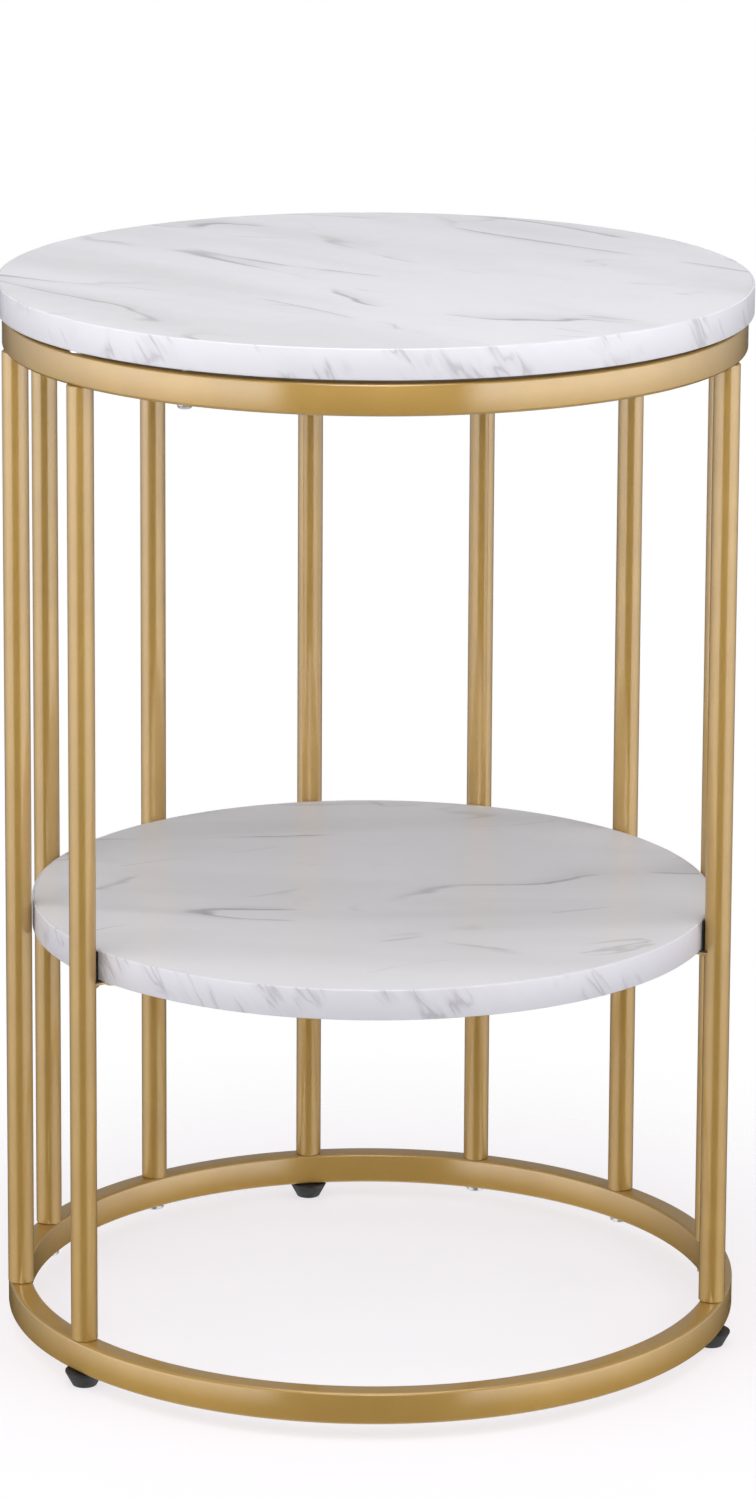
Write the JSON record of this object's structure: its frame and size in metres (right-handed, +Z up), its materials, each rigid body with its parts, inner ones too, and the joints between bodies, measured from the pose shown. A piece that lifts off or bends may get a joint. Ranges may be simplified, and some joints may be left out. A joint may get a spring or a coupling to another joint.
{
  "type": "side table",
  "caption": "Round two-tier side table: marble-look top and shelf on gold rings and round uprights, open at the front, on levelling feet.",
  "frame": {"origin": "on the floor, on the table's axis", "axes": "+Z up, -Y towards the open front, +X to the right seen from the front"},
  "size_m": [0.3999, 0.4012, 0.573],
  "materials": {
    "marble_board": "chipboard faced with satin marble-look melamine, white with grey veins",
    "board_edging": "satin plastic edge strip, white with faint grey veins",
    "gold_paint": "satin champagne-gold paint on steel tube",
    "zinc_steel": "bright zinc plating",
    "black_plastic": "moulded black plastic, semi-matt"
  },
  "bodies": {
    "table": {"tabletop_board": "marble_board", "tabletop_edging": "board_edging", "shelf_board": "marble_board", "shelf_edging": "board_edging", "upper_ring": "gold_paint", "lower_ring": "gold_paint", "upright_back": "gold_paint", "upright_left_1": "gold_paint", "upright_left_2": "gold_paint", "upright_left_3": "gold_paint", "upright_left_4": "gold_paint", "upright_right_1": "gold_paint", "upright_right_2": "gold_paint", "upright_right_3": "gold_paint", "upright_right_4": "gold_paint", "upper_tube_plugs": "zinc_steel", "lower_tube_plugs": "zinc_steel", "upper_frame_bolts": "zinc_steel", "lower_frame_bolts": "zinc_steel", "tabletop_screws": "zinc_steel", "shelf_screws": "zinc_steel", "shelf_buffers": "black_plastic", "shelf_bracket_right": "gold_paint", "shelf_bracket_back": "gold_paint", "shelf_bracket_left": "gold_paint"},
    "foot_right": {"foot_pad_right": "black_plastic", "foot_stud_right": "zinc_steel"},
    "foot_back": {"foot_pad_back": "black_plastic", "foot_stud_back": "zinc_steel"},
    "foot_left": {"foot_pad_left": "black_plastic", "foot_stud_left": "zinc_steel"}
  },
  "joints": [
    {"name": "foot_right_screw", "type": "slide", "parent": "table", "child": "foot_right", "axis": [0, 0, -1], "range_m": [0, 0.008]},
    {"name": "foot_back_screw", "type": "slide", "parent": "table", "child": "foot_back", "axis": [0, 0, -1], "range_m": [0, 0.008]},
    {"name": "foot_left_screw", "type": "slide", "parent": "table", "child": "foot_left", "axis": [0, 0, -1], "range_m": [0, 0.008]}
  ]
}
